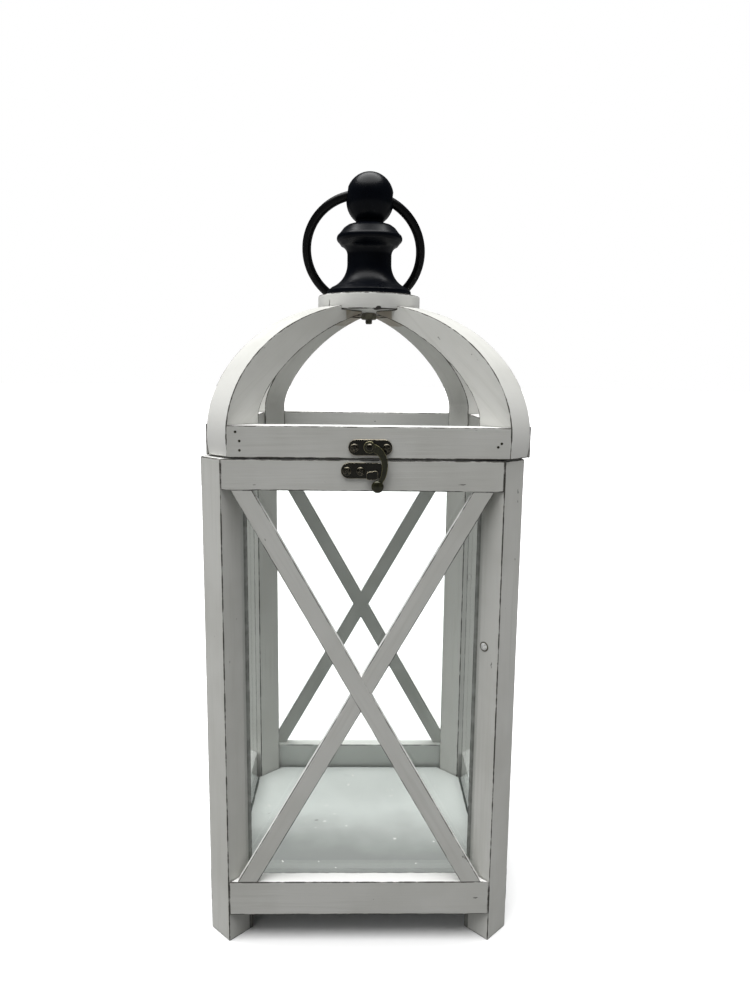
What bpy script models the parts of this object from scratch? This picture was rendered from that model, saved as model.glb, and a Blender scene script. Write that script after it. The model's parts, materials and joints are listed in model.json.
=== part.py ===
"""Candle lantern: a square wooden body with glass on four sides, under a hinged domed lid with a turned finial.

Metres, +Z up. The front faces -Y, the feet stand on z = 0 and the body is centred on the Z axis.
The four posts stand on the diagonals, with their outer faces at 45 degrees to the front.
"""

import math

import bmesh
import bpy
from mathutils import Matrix, Vector

MM = 0.001
ROOT2 = math.sqrt(2)

# Clearance between touching pieces
GAP = 0.3 * MM

# Body
CORNER_RADIUS = 157 * MM
POST_WIDTH = 24 * MM
POST_DEPTH = 23.4 * MM
BODY_HEIGHT = 384.5 * MM
RAIL_THICKNESS = 12 * MM
BOTTOM_RAIL_BASE = 23.3 * MM
BOTTOM_RAIL_TOP = 51.5 * MM
TOP_RAIL_BASE = 362 * MM
FLOOR_HEIGHT = 27.5 * MM
FLOOR_THICKNESS = 6 * MM
BRACE_WIDTH = 13.5 * MM
BRACE_THICKNESS = 6 * MM
BRACE_INSET = 0.5 * MM
BRACE_REACH = 87.4 * MM
GLASS_THICKNESS = 2 * MM
GLASS_TOP = 371 * MM
GROOVE_DEPTH = 0.6 * MM

# Lid
LID_GAP = 1 * MM
LID_SHIFT = 4.2 * MM
LID_RAIL_HEIGHT = 23 * MM
LID_RAIL_THICKNESS = 20 * MM
RIB_REACH = 156.5 * MM
RIB_RISE = 103 * MM
RIB_CENTRE = 400.5 * MM
RIB_INNER_REACH = 127 * MM
RIB_INNER_RISE = 82 * MM
RIB_INNER_CENTRE = 415.3 * MM
RIB_INNER_POWER = 1.52
RIB_END = 20 * MM
RIB_STEPS = 20
DISC_RADIUS = 42.7 * MM
DISC_BASE = 496.8 * MM
DISC_THICKNESS = 13 * MM
DISC_EASE = 0.8 * MM

# Finial, bolt and carrying ring
FINIAL_TOP = 610 * MM
BALL_RADIUS = 19.6 * MM
BALL_BELT = 3.8 * MM
NECK_RADIUS = 11.5 * MM
BULGE_RADIUS = 27.5 * MM
WAIST_RADIUS = 18.5 * MM
FINIAL_BASE_RADIUS = 35.2 * MM
BOLT_RADIUS = 3.1 * MM
BOLT_LOW = 487.5 * MM
BOLT_HIGH = 548 * MM
NUT_ACROSS_FLATS = 11.1 * MM
NUT_HEIGHT = 5.4 * MM
RING_RADIUS = 49.3 * MM
RING_ROD = 3.85 * MM
RING_HOLE = 6.3 * MM
RING_PIVOT_HEIGHT = 590 * MM
RING_SLANT = math.radians(7)
RING_LEAN = math.radians(30)

# Latch
PLATE_LENGTH = 31.7 * MM
PLATE_HEIGHT = 11.6 * MM
PLATE_THICKNESS = 1 * MM
HOOK_PLATE_X = 5 * MM
HOOK_PLATE_Z = 393.7 * MM
KEEPER_PLATE_X = -0.2 * MM
KEEPER_PLATE_Z = 377 * MM
HOOK_PLATE_SCREWS = (-11.4 * MM, 11.8 * MM)
KEEPER_PLATE_SCREWS = (-11.4 * MM, -1.6 * MM)
PLATE_SCREW_DROP = 0.4 * MM
LUG_LOWER_EDGE_MM = [(2.4, 371.4), (4, 370.8), (9, 370.9), (10.6, 371.8)]
LUG_UPPER_EDGE_MM = [(10.6, 376.8), (9.2, 377.5), (4, 376.6), (2.4, 375.6)]
PIVOT_X = 4.4 * MM
PIVOT_Z = 394.2 * MM
HOOK_THICKNESS = 2 * MM
HOOK_STANDOFF = 1.8 * MM
HOOK_EYE = 4.3 * MM
HOOK_BEND = 11.1 * MM
HOOK_SHOULDER_Z = 380.5 * MM
HOOK_CURL_REACH = 6.5 * MM
HOOK_CURL_DROP = 13 * MM
KNOB_X = 10.4 * MM
KNOB_Z = 365.9 * MM
KNOB_RADIUS = 4.6 * MM
KNOB_DEPTH = 2.3 * MM
RIVET_RADIUS = 1.5 * MM
RIVET_SHOULDER = 2.7 * MM
RIVET_HEAD = 2.9 * MM
RIVET_DOME = 1.2 * MM

# Hinges
HINGE_X = 60 * MM
HINGE_WIDTH = 25 * MM
LEAF_HEIGHT = 13.5 * MM
LEAF_THICKNESS = 1 * MM
BARREL_RADIUS = 2.6 * MM
PIN_RADIUS = 1.3 * MM
KNUCKLE_HALF = 4 * MM

# Fasteners
SCREW_RADIUS = 1.2 * MM
SCREW_LENGTH = 7 * MM
PILOT_RADIUS = 1.5 * MM
LATCH_SCREW_HEAD = 3.1 * MM
HINGE_SCREW_HEAD = 2.3 * MM
HINGE_SCREW_HEIGHT = 8.2 * MM
HINGE_SCREW_SPREAD = 7.5 * MM
GLASS_SCREW_HEAD = 3.0 * MM
GLASS_SCREW_HEIGHT = 242 * MM
GLASS_SCREW_INSET = 9.3 * MM
GLASS_SCREW_OUTWARD = Vector((-1, -1, 0)).normalized()

# Places worked out from the sizes above
CORNER_X = (CORNER_RADIUS - POST_WIDTH / 2) / ROOT2
FRONT_Y = (CORNER_RADIUS + POST_WIDTH / 2) / ROOT2
POST_STEP = POST_DEPTH / ROOT2
MITRE_GAP = GAP * ROOT2
GLASS_FRONT = RAIL_THICKNESS + GAP
GLASS_HALF = CORNER_X - RAIL_THICKNESS + GROOVE_DEPTH - GAP
LID_BASE = BODY_HEIGHT + LID_GAP
LID_RAIL_TOP = LID_BASE + LID_RAIL_HEIGHT
PARTING = BODY_HEIGHT + LID_GAP / 2
PLATE_BACK = -FRONT_Y - GAP
PLATE_FRONT = PLATE_BACK - PLATE_THICKNESS
HOOK_BACK = PLATE_FRONT - HOOK_STANDOFF
HOOK_FRONT = HOOK_BACK - HOOK_THICKNESS
BARREL_Y = FRONT_Y + GAP + BARREL_RADIUS
RING_SAG = RING_RADIUS - math.sqrt(RING_RADIUS**2 - BALL_RADIUS**2)

FINISHES = {
    "white_paint": ((0.60, 0.60, 0.57, 1.0), 0.55, 0.0),
    "black_lacquer": ((0.012, 0.013, 0.018, 1.0), 0.35, 0.0),
    "black_metal": ((0.010, 0.010, 0.012, 1.0), 0.4, 0.6),
    "bronze": ((0.055, 0.045, 0.025, 1.0), 0.4, 0.9),
    "steel": ((0.25, 0.24, 0.22, 1.0), 0.35, 1.0),
    "glass": ((0.92, 0.97, 0.95, 0.35), 0.03, 0.0),
}


def clear_scene():
    for obj in list(bpy.data.objects):
        bpy.data.objects.remove(obj, do_unlink=True)


def finish_material(finish):
    material = bpy.data.materials.get(finish)
    if material:
        return material
    colour, roughness, metallic = FINISHES[finish]
    material = bpy.data.materials.new(finish)
    material.use_nodes = True
    shader = material.node_tree.nodes["Principled BSDF"]
    shader.inputs["Base Color"].default_value = colour
    shader.inputs["Roughness"].default_value = roughness
    shader.inputs["Metallic"].default_value = metallic
    return material


def add_object(name, shape, finish, origin=(0, 0, 0), smooth=False):
    """Makes an object from a bmesh in world space, with its origin at the point given."""
    bmesh.ops.recalc_face_normals(shape, faces=shape.faces)
    mesh = bpy.data.meshes.new(name)
    shape.to_mesh(mesh)
    shape.free()
    mesh.transform(Matrix.Translation(-Vector(origin)))
    if smooth:
        mesh.shade_smooth()
        mesh.set_sharp_from_angle(angle=math.radians(35))
    mesh.materials.append(finish_material(finish))
    obj = bpy.data.objects.new(name, mesh)
    obj.location = origin
    bpy.context.scene.collection.objects.link(obj)
    return obj


def boolean(target, helper, operation):
    modifier = target.modifiers.new(helper.name, "BOOLEAN")
    modifier.operation = operation
    modifier.object = helper


def add_helper(target, name, shape, operation):
    helper = add_object(name, shape, "steel")
    helper.hide_render = True
    helper.display_type = "WIRE"
    boolean(target, helper, operation)
    return helper


def cut(target, name, shape):
    """Cuts a shape out of an object, and gives back the hidden cutter."""
    return add_helper(target, name, shape, "DIFFERENCE")


def join(target, name, shape):
    """Makes a shape one with an object."""
    return add_helper(target, name, shape, "UNION")


def joined(*shapes):
    """One bmesh that holds the faces of several."""
    whole = bmesh.new()
    for shape in shapes:
        mesh = bpy.data.meshes.new("joined")
        shape.to_mesh(mesh)
        shape.free()
        whole.from_mesh(mesh)
        bpy.data.meshes.remove(mesh)
    return whole


def moved(shape, matrix):
    bmesh.ops.transform(shape, matrix=matrix, verts=shape.verts)
    return shape


def prism(outline, low, high, matrix=None):
    """An outline of (x, y) points, extruded along Z from low to high."""
    shape = bmesh.new()
    base = [shape.verts.new((x, y, low)) for x, y in outline]
    top = [shape.verts.new((x, y, high)) for x, y in outline]
    count = len(outline)
    shape.faces.new(base)
    shape.faces.new(top)
    for i in range(count):
        j = (i + 1) % count
        shape.faces.new((base[i], base[j], top[j], top[i]))
    bmesh.ops.recalc_face_normals(shape, faces=shape.faces)
    return moved(shape, matrix) if matrix else shape


def turned(profile, sides, matrix=None, tube=False):
    """A profile of (radius, z) points turned about Z. A tube's profile is a closed loop, clear of the axis."""
    shape = bmesh.new()
    rows = []
    for radius, z in profile:
        count = sides if radius > 0 else 1
        turns = [2 * math.pi * i / sides for i in range(count)]
        rows.append([shape.verts.new((radius * math.cos(t), radius * math.sin(t), z)) for t in turns])
    pairs = list(zip(rows, rows[1:]))
    if tube:
        pairs.append((rows[-1], rows[0]))
    for upper, lower in pairs:
        for i in range(sides):
            j = (i + 1) % sides
            corners = [upper[i % len(upper)], upper[j % len(upper)], lower[j % len(lower)], lower[i % len(lower)]]
            shape.faces.new(list(dict.fromkeys(corners)))
    bmesh.ops.recalc_face_normals(shape, faces=shape.faces)
    return moved(shape, matrix) if matrix else shape


def rod(radius, low, high, sides=12, matrix=None):
    return turned([(0, low), (radius, low), (radius, high), (0, high)], sides, matrix)


def box(low, high):
    outline = [(low[0], low[1]), (high[0], low[1]), (high[0], high[1]), (low[0], high[1])]
    return prism(outline, low[2], high[2])


def arc(centre, radius, start, end, steps):
    """Points on an arc, from the start angle to the end angle in degrees."""
    turns = [math.radians(start + (end - start) * i / steps) for i in range(steps + 1)]
    return [(centre[0] + radius * math.cos(t), centre[1] + radius * math.sin(t)) for t in turns]


def about_z(quarter_turns):
    return Matrix.Rotation(quarter_turns * math.pi / 2, 4, "Z")


def lid_place(quarter_turns):
    return Matrix.Translation((LID_SHIFT, 0, 0)) @ about_z(quarter_turns)


def facing(place, outward):
    """Turns +Z to point outward, and moves the origin to the place."""
    turn = Vector((0, 0, 1)).rotation_difference(Vector(outward))
    return Matrix.Translation(place) @ turn.to_matrix().to_4x4()


def upright(y):
    """Carries an outline of (x, z) points to the plane at y, extruding towards -Y."""
    return Matrix.Translation((0, y, 0)) @ Matrix.Rotation(math.pi / 2, 4, "X")


def screw(place, outward, head_radius):
    """A round-headed screw whose head rests on the place given."""
    head = arc((0, 0), head_radius, 0, 90, 4)
    flatter = [(radius, GAP / 3 + z * 0.42) for radius, z in head]
    flatter[-1] = (0, flatter[-1][1])
    profile = [(0, -SCREW_LENGTH), (SCREW_RADIUS, 1.5 * MM - SCREW_LENGTH), (SCREW_RADIUS, GAP / 3)]
    return turned(profile + flatter, 12, facing(place, outward))


def pilot(place, outward):
    return rod(PILOT_RADIUS, -SCREW_LENGTH - MM, MM, 10, facing(place, outward))


# Body


def post_outline():
    """The front right post's section, with a shallow groove for each of the two panes beside it."""
    glass_back = GLASS_FRONT + GLASS_THICKNESS + GAP
    groove = CORNER_X - RAIL_THICKNESS + GROOVE_DEPTH
    side = [
        (CORNER_X, -FRONT_Y),
        (CORNER_X - RAIL_THICKNESS, -FRONT_Y + RAIL_THICKNESS),
        (groove, -FRONT_Y + RAIL_THICKNESS),
        (groove, -FRONT_Y + glass_back),
        (CORNER_X - glass_back, -FRONT_Y + glass_back),
        (CORNER_X - POST_STEP, -FRONT_Y + POST_STEP),
    ]
    mirrored = [(-y, -x) for x, y in side]
    return side + mirrored[::-1]


def glass_screw_place():
    return Vector((CORNER_X - GLASS_SCREW_INSET, -FRONT_Y + GLASS_SCREW_INSET, GLASS_SCREW_HEIGHT))


def make_posts():
    """The posts, each with a screw on its inner side that keeps the glass in its groove."""
    for turn, corner in enumerate(["front_right", "back_right", "back_left", "front_left"]):
        post = add_object(f"post_{corner}", prism(post_outline(), 0, BODY_HEIGHT, about_z(turn)), "white_paint")
        hole = moved(pilot(glass_screw_place(), GLASS_SCREW_OUTWARD), about_z(turn))
        cut(post, f"post_{corner}_pilot", hole)
        shape = moved(screw(glass_screw_place(), GLASS_SCREW_OUTWARD, GLASS_SCREW_HEAD), about_z(turn))
        add_object(f"glass_screw_{corner}", shape, "steel", smooth=True)


def rail_outline(thickness):
    """A front rail's section from above, with ends cut at 45 degrees to lie along the posts."""
    outer = CORNER_X - MITRE_GAP
    inner = outer - thickness
    return [(-outer, -FRONT_Y), (outer, -FRONT_Y), (inner, -FRONT_Y + thickness), (-inner, -FRONT_Y + thickness)]


def make_rails(prefix, thickness, low, high, place):
    rails = {}
    for turn, side in enumerate(["front", "right", "back", "left"]):
        name = f"{prefix}_{side}"
        rails[side] = add_object(name, prism(rail_outline(thickness), low, high, place(turn)), "white_paint")
    return rails


def brace_outline(lean, spare=0):
    """A bar from one corner of the opening to the other, as (x, z) points. Lean is 1 for rising to the right."""
    top = TOP_RAIL_BASE - GAP
    bottom = BOTTOM_RAIL_TOP + GAP
    half = (BRACE_WIDTH / 2 + spare) / math.cos(math.atan2(2 * BRACE_REACH, top - bottom))
    reach = lean * BRACE_REACH
    return [(reach - half, top), (reach + half, top), (half - reach, bottom), (-half - reach, bottom)]


def make_brace(side, turn):
    """Two bars that cross, each notched to half its thickness where the other passes."""
    back = upright(-FRONT_Y + BRACE_INSET + BRACE_THICKNESS)
    middle = BRACE_THICKNESS / 2
    front_half = (middle - GAP / 2, BRACE_THICKNESS + MM)
    back_half = (-MM, middle + GAP / 2)
    for name, lean, notch in [("rising", 1, front_half), ("falling", -1, back_half)]:
        shape = prism(brace_outline(lean), 0, BRACE_THICKNESS, back)
        bar = add_object(f"brace_{side}_{name}", moved(shape, about_z(turn)), "white_paint")
        other = prism(brace_outline(-lean, GAP), *notch, back)
        cut(bar, f"brace_{side}_{name}_notch", moved(other, about_z(turn)))


def make_floor():
    """The board that a candle stands on, between the panes."""
    edge = FRONT_Y - GLASS_FRONT - GLASS_THICKNESS - GAP
    clipped = (CORNER_RADIUS - POST_DEPTH - GAP) * ROOT2 - edge
    corner = [(edge, -clipped), (edge, clipped)]
    outline = [(about_z(turn) @ Vector((x, y, 0))).to_2d() for turn in range(4) for x, y in corner]
    shape = prism(outline, FLOOR_HEIGHT - FLOOR_THICKNESS, FLOOR_HEIGHT)
    add_object("base_board", shape, "white_paint")


def make_glass():
    front = -FRONT_Y + GLASS_FRONT
    low = (-GLASS_HALF, front, BOTTOM_RAIL_BASE + GAP)
    high = (GLASS_HALF, front + GLASS_THICKNESS, GLASS_TOP)
    for turn, side in enumerate(["front", "right", "back", "left"]):
        add_object(f"glass_{side}", moved(box(low, high), about_z(turn)), "glass")


# Lid


def rib_outline():
    """A rib from the side, as (distance from the axis, height) points."""
    start = math.degrees(math.asin((LID_BASE - RIB_CENTRE) / RIB_RISE))
    seat = DISC_RADIUS + GAP
    end = math.degrees(math.acos(seat / RIB_REACH))
    outer = [(x * RIB_REACH, RIB_CENTRE + z * RIB_RISE) for x, z in arc((0, 0), 1, start, end, RIB_STEPS)]
    step = [(seat, DISC_BASE - GAP), (RIB_END, DISC_BASE - GAP)]
    inner = []
    for i in range(RIB_STEPS + 1):
        share = (RIB_END + (RIB_INNER_REACH - RIB_END) * math.sin(math.pi / 2 * i / RIB_STEPS)) / RIB_INNER_REACH
        rise = (1 - min(1, share) ** RIB_INNER_POWER) ** (1 / RIB_INNER_POWER)
        inner.append((share * RIB_INNER_REACH, RIB_INNER_CENTRE + rise * RIB_INNER_RISE))
    return outer + step + inner + [(RIB_INNER_REACH, LID_BASE)]


def make_ribs():
    half = POST_WIDTH / 2
    names = ["rib_back_right", "rib_back_left", "rib_front_left", "rib_front_right"]
    for turn, name in enumerate(names):
        shape = prism(rib_outline(), -half, half, Matrix.Rotation(math.pi / 2, 4, "X"))
        place = Matrix.Translation((LID_SHIFT, 0, 0)) @ Matrix.Rotation(math.radians(45 + 90 * turn), 4, "Z")
        add_object(name, moved(shape, place), "white_paint")


def on_lid_axis(z=0):
    return Matrix.Translation((LID_SHIFT, 0, z))


def make_disc():
    top = DISC_THICKNESS
    bore = BOLT_RADIUS + GAP
    profile = [
        (bore, top),
        (DISC_RADIUS - DISC_EASE, top),
        (DISC_RADIUS, top - DISC_EASE),
        (DISC_RADIUS, DISC_EASE),
        (DISC_RADIUS - DISC_EASE, 0),
        (bore, 0),
    ]
    add_object("top_disc", turned(profile, 48, on_lid_axis(DISC_BASE), tube=True), "white_paint", smooth=True)


def finial_profile():
    """From the top of the ball down to the base, then up the blind hole for the bolt."""
    ball_high = FINIAL_TOP - BALL_RADIUS
    ball_low = ball_high - BALL_BELT
    neck = -math.degrees(math.acos(NECK_RADIUS / BALL_RADIUS))
    base = DISC_BASE + DISC_THICKNESS + GAP
    bulge = base + 46.7 * MM
    waist_high = base + 33.4 * MM
    waist_low = base + 26.4 * MM
    cove_high = 8 * MM
    cove_low = 21 * MM
    edge = 4 * MM
    ball = [(0, FINIAL_TOP)] + arc((0, ball_high), BALL_RADIUS, 90, 0, 8)[1:]
    ball += arc((0, ball_low), BALL_RADIUS, 0, neck, 5)
    collar = [(16.4 * MM, base + 58.9 * MM), (18.2 * MM, base + 57.4 * MM), (21.8 * MM, base + 54.7 * MM)]
    collar += [(22.9 * MM, base + 54.3 * MM)]
    body = arc((BULGE_RADIUS - edge, bulge), edge, 50, -50, 5)
    body += arc((WAIST_RADIUS + cove_high, waist_high), cove_high, 105, 180, 5)
    body += arc((WAIST_RADIUS + cove_low, waist_low), cove_low, 180, 248, 7)
    foot = [(FINIAL_BASE_RADIUS, base + 4.3 * MM), (FINIAL_BASE_RADIUS, base)]
    bore = BOLT_RADIUS + GAP
    hole = [(bore, base), (bore, BOLT_HIGH + GAP), (0, BOLT_HIGH + GAP)]
    return ball + collar + body + foot + hole


def ring_frame():
    """At the ball's cross hole, with X along the hole."""
    pivot = Matrix.Translation((LID_SHIFT, 0, RING_PIVOT_HEIGHT))
    return pivot @ Matrix.Rotation(RING_SLANT, 4, "Y")


def make_finial():
    finial = add_object("finial", turned(finial_profile(), 32, on_lid_axis()), "black_lacquer", smooth=True)
    along = ring_frame() @ Matrix.Rotation(math.pi / 2, 4, "Y")
    cut(finial, "finial_cross_hole", rod(RING_HOLE, -2 * BALL_RADIUS, 2 * BALL_RADIUS, 20, along))


def make_bolt():
    ease = 0.6 * MM
    profile = [
        (0, BOLT_HIGH),
        (BOLT_RADIUS - ease, BOLT_HIGH),
        (BOLT_RADIUS, BOLT_HIGH - ease),
        (BOLT_RADIUS, BOLT_LOW + ease),
        (BOLT_RADIUS - ease, BOLT_LOW),
        (0, BOLT_LOW),
    ]
    add_object("finial_bolt", turned(profile, 16, on_lid_axis()), "steel", smooth=True)


def make_nut():
    corner = NUT_ACROSS_FLATS / 2 / math.cos(math.pi / 6)
    high = DISC_BASE - GAP
    hexagon = arc((0, 0), corner, 0, 300, 5)
    nut = add_object("finial_nut", prism(hexagon, high - NUT_HEIGHT, high, on_lid_axis()), "steel")
    cut(nut, "finial_nut_bore", rod(BOLT_RADIUS + GAP, high - 2 * NUT_HEIGHT, high + MM, 16, on_lid_axis()))


def make_ring():
    """The carrying ring, leaning back on the disc's rim, with its origin on the cross hole's axis."""
    section = arc((RING_RADIUS, 0), RING_ROD, 0, 324, 9)
    flat = turned(section, 56, tube=True)
    upright_ring = moved(flat, Matrix.Rotation(math.pi / 2, 4, "X"))
    drop = RING_RADIUS - RING_SAG / 2
    place = ring_frame() @ Matrix.Rotation(RING_LEAN, 4, "X") @ Matrix.Translation((0, 0, -drop))
    pivot = (LID_SHIFT, 0, RING_PIVOT_HEIGHT)
    return add_object("carrying_ring", moved(upright_ring, place), "black_metal", pivot, smooth=True)


# Latch


def stadium(x, z):
    """A plate's outline, with round ends, as (x, z) points."""
    radius = PLATE_HEIGHT / 2
    straight = PLATE_LENGTH / 2 - radius
    return arc((x + straight, z), radius, -90, 90, 8) + arc((x - straight, z), radius, 90, 270, 8)


def plate_screws(x, z, offsets):
    return [Vector((x + offset, PLATE_FRONT, z - PLATE_SCREW_DROP)) for offset in offsets]


def fasten(plate, wood, places, outward, head_radius, name):
    """Drills a plate and the wood behind it, and adds a screw at each place, left one first."""
    cutter = cut(wood, name + "_pilots", joined(*[pilot(place, outward) for place in places]))
    boolean(plate, cutter, "DIFFERENCE")
    shapes = [screw(place, outward, head_radius) for place in places]
    names = [f"{name}_{side}" for side in ("left", "right")]
    return [add_object(n, shape, "bronze", smooth=True) for n, shape in zip(names, shapes)]


def make_keeper(rail):
    """The lower plate, with the raised lug that the hook catches under."""
    shape = prism(stadium(KEEPER_PLATE_X, KEEPER_PLATE_Z), 0, PLATE_THICKNESS, upright(PLATE_BACK))
    plate = add_object("keeper_plate", shape, "bronze")
    lug = [(x * MM, z * MM) for x, z in LUG_LOWER_EDGE_MM + LUG_UPPER_EDGE_MM]
    inside = PLATE_BACK - PLATE_THICKNESS / 2
    join(plate, "keeper_lug", prism(lug, 0, inside - HOOK_FRONT, upright(inside)))
    places = plate_screws(KEEPER_PLATE_X, KEEPER_PLATE_Z, KEEPER_PLATE_SCREWS)
    fasten(plate, rail, places, (0, -1, 0), LATCH_SCREW_HEAD, "keeper_screw")


def make_hook_plate(rail):
    shape = prism(stadium(HOOK_PLATE_X, HOOK_PLATE_Z), 0, PLATE_THICKNESS, upright(PLATE_BACK))
    plate = add_object("hook_plate", shape, "bronze")
    cut(plate, "hook_plate_rivet_hole", rod(RIVET_RADIUS + GAP, -MM, 2 * MM, 12, pivot_frame(PLATE_BACK)))
    places = plate_screws(HOOK_PLATE_X, HOOK_PLATE_Z, HOOK_PLATE_SCREWS)
    return [plate] + fasten(plate, rail, places, (0, -1, 0), LATCH_SCREW_HEAD, "hook_plate_screw")


def pivot_frame(y):
    """At the hook's pivot, with +Z pointing to the front."""
    return facing((PIVOT_X, y, PIVOT_Z), (0, -1, 0))


def make_rivet():
    back = PLATE_THICKNESS + GAP
    under = PLATE_THICKNESS + HOOK_STANDOFF - 2 * GAP
    over = under + HOOK_THICKNESS + 4 * GAP
    profile = [(0, 0), (RIVET_RADIUS, 0), (RIVET_RADIUS, back), (RIVET_SHOULDER, back), (RIVET_SHOULDER, under)]
    profile += [(RIVET_RADIUS, under), (RIVET_RADIUS, over), (RIVET_HEAD, over)]
    profile += [(RIVET_HEAD * 0.8, over + RIVET_DOME * 2 / 3), (0, over + RIVET_DOME)]
    return add_object("hook_rivet", turned(profile, 16, pivot_frame(PLATE_BACK)), "bronze", smooth=True)


def oval(centre, width, height, start, end, steps):
    """Points on an oval with these half sizes, from the start angle to the end angle in degrees."""
    return [(centre[0] + width * x, centre[1] + height * y) for x, y in arc((0, 0), 1, start, end, steps)]


def hook_spine():
    """The arm's centre line with half widths: an oval quarter turn from the pivot, then a curl to the left."""
    turn = oval((PIVOT_X, HOOK_SHOULDER_Z), HOOK_BEND, PIVOT_Z - HOOK_SHOULDER_Z, 90, 0, 9)
    curl_x = PIVOT_X + HOOK_BEND - HOOK_CURL_REACH
    curl = oval((curl_x, HOOK_SHOULDER_Z), HOOK_CURL_REACH, HOOK_CURL_DROP, 0, -62, 6)
    points = turn + curl[1:]
    last = len(points) - 1
    widths = [(3 - 1.4 * i / last) * MM for i in range(last + 1)]
    return points, widths


def ribbon(points, widths):
    """The outline of a strip that follows a line of points."""
    left, right = [], []
    for i, (x, y) in enumerate(points):
        ahead = points[min(i + 1, len(points) - 1)]
        behind = points[max(i - 1, 0)]
        along = Vector((ahead[0] - behind[0], ahead[1] - behind[1])).normalized()
        left.append((x - along.y * widths[i], y + along.x * widths[i]))
        right.append((x + along.y * widths[i], y - along.x * widths[i]))
    return left + right[::-1]


def make_hook():
    """The latch hook, with its origin on its pivot."""
    pivot = (PIVOT_X, HOOK_BACK, PIVOT_Z)
    points, widths = hook_spine()
    arm = prism(ribbon(points, widths), 0, HOOK_THICKNESS, upright(HOOK_BACK))
    hook = add_object("latch_hook", arm, "bronze", pivot, smooth=True)
    join(hook, "hook_eye", rod(HOOK_EYE, -GAP, HOOK_THICKNESS + GAP, 20, pivot_frame(HOOK_BACK)))
    ball = [(0, 1)] + arc((0, 0), 1, 90, -90, 8)[1:-1] + [(0, -1)]
    place = Matrix.Translation((KNOB_X, HOOK_BACK - HOOK_THICKNESS / 2, KNOB_Z))
    flattened = Matrix.Diagonal((KNOB_RADIUS, KNOB_DEPTH, KNOB_RADIUS, 1))
    join(hook, "hook_knob", turned(ball, 16, place @ flattened))
    cut(hook, "hook_bore", rod(RIVET_RADIUS + GAP, -MM, HOOK_THICKNESS + MM, 16, pivot_frame(HOOK_BACK)))
    return hook


# Hinges


def leaf_outline(up):
    """A rolled leaf from the end, as (y, z) points about the pin. Up is 1 for the lid's leaf, -1 for the body's."""
    inner = BARREL_RADIUS - LEAF_THICKNESS
    roll = arc((0, 0), BARREL_RADIUS, 180, 180 + up * 290, 14)
    unroll = arc((0, 0), inner, 180 + up * 290, 180, 14)
    plate = [(-inner, up * LEAF_HEIGHT), (-BARREL_RADIUS, up * LEAF_HEIGHT)]
    return roll + unroll + plate


def along_x(x):
    """Carries an outline of (y, z) points about the pin to a hinge at x, extruding along +X."""
    turn = Matrix(((0, 0, 1, 0), (1, 0, 0, 0), (0, 1, 0, 0), (0, 0, 0, 1)))
    return Matrix.Translation((x, BARREL_Y, PARTING)) @ turn


def knuckle_gaps(x, up):
    """The stretches of barrel that the other leaf takes up."""
    edge = HINGE_WIDTH / 2 + MM
    inside = KNUCKLE_HALF + GAP / 2
    spans = [(-inside, inside)] if up > 0 else [(-edge, -inside + GAP), (inside - GAP, edge)]
    reach = BARREL_RADIUS + GAP
    low_z, high_z = sorted((PARTING - up * (reach + GAP), PARTING + up * reach))
    low_y, high_y = BARREL_Y - BARREL_RADIUS - MM, BARREL_Y + reach + MM
    return [box((x + a, low_y, low_z), (x + b, high_y, high_z)) for a, b in spans]


def make_leaf(hinge, x, up, rail):
    """One leaf with its two screws. Up is 1 for the lid's leaf, -1 for the body's."""
    name = f"{hinge}_lid" if up > 0 else f"{hinge}_body"
    half = HINGE_WIDTH / 2
    leaf = add_object(f"{name}_leaf", prism(leaf_outline(up), -half, half, along_x(x)), "bronze", smooth=True)
    cut(leaf, f"{name}_gaps", joined(*knuckle_gaps(x, up)))
    face = FRONT_Y + GAP + LEAF_THICKNESS
    height = PARTING + up * HINGE_SCREW_HEIGHT
    places = [Vector((x + side * HINGE_SCREW_SPREAD, face, height)) for side in (-1, 1)]
    return [leaf] + fasten(leaf, rail, places, (0, 1, 0), HINGE_SCREW_HEAD, f"{name}_screw")


def make_pin(name, x):
    half = HINGE_WIDTH / 2
    head = BARREL_RADIUS * 0.8
    end = half + GAP
    profile = [(0, -end - MM), (head, -end - 0.4 * MM), (head, -end), (PIN_RADIUS, -end)]
    profile += [(radius, -z) for radius, z in profile[::-1]]
    return add_object(name, turned(profile, 14, along_x(x)), "bronze", smooth=True)


def make_hinges(body_rail, lid_rail):
    """Both hinges, and a list of their pieces that move with the lid."""
    lid_pieces = []
    for hinge, x in [("hinge_left", -HINGE_X), ("hinge_right", HINGE_X)]:
        make_leaf(hinge, x, -1, body_rail)
        lid_pieces += make_leaf(hinge, x, 1, lid_rail)
        lid_pieces.append(make_pin(f"{hinge}_pin", x))
    return lid_pieces


def hang_on(empty_name, place, pieces):
    """Parents pieces to an empty on their joint's axis, and leaves them where they are."""
    empty = bpy.data.objects.new(empty_name, None)
    empty.location = place
    bpy.context.scene.collection.objects.link(empty)
    bpy.context.view_layer.update()
    for piece in pieces:
        piece.parent = empty
        piece.matrix_parent_inverse = empty.matrix_world.inverted()
    return empty


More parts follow.
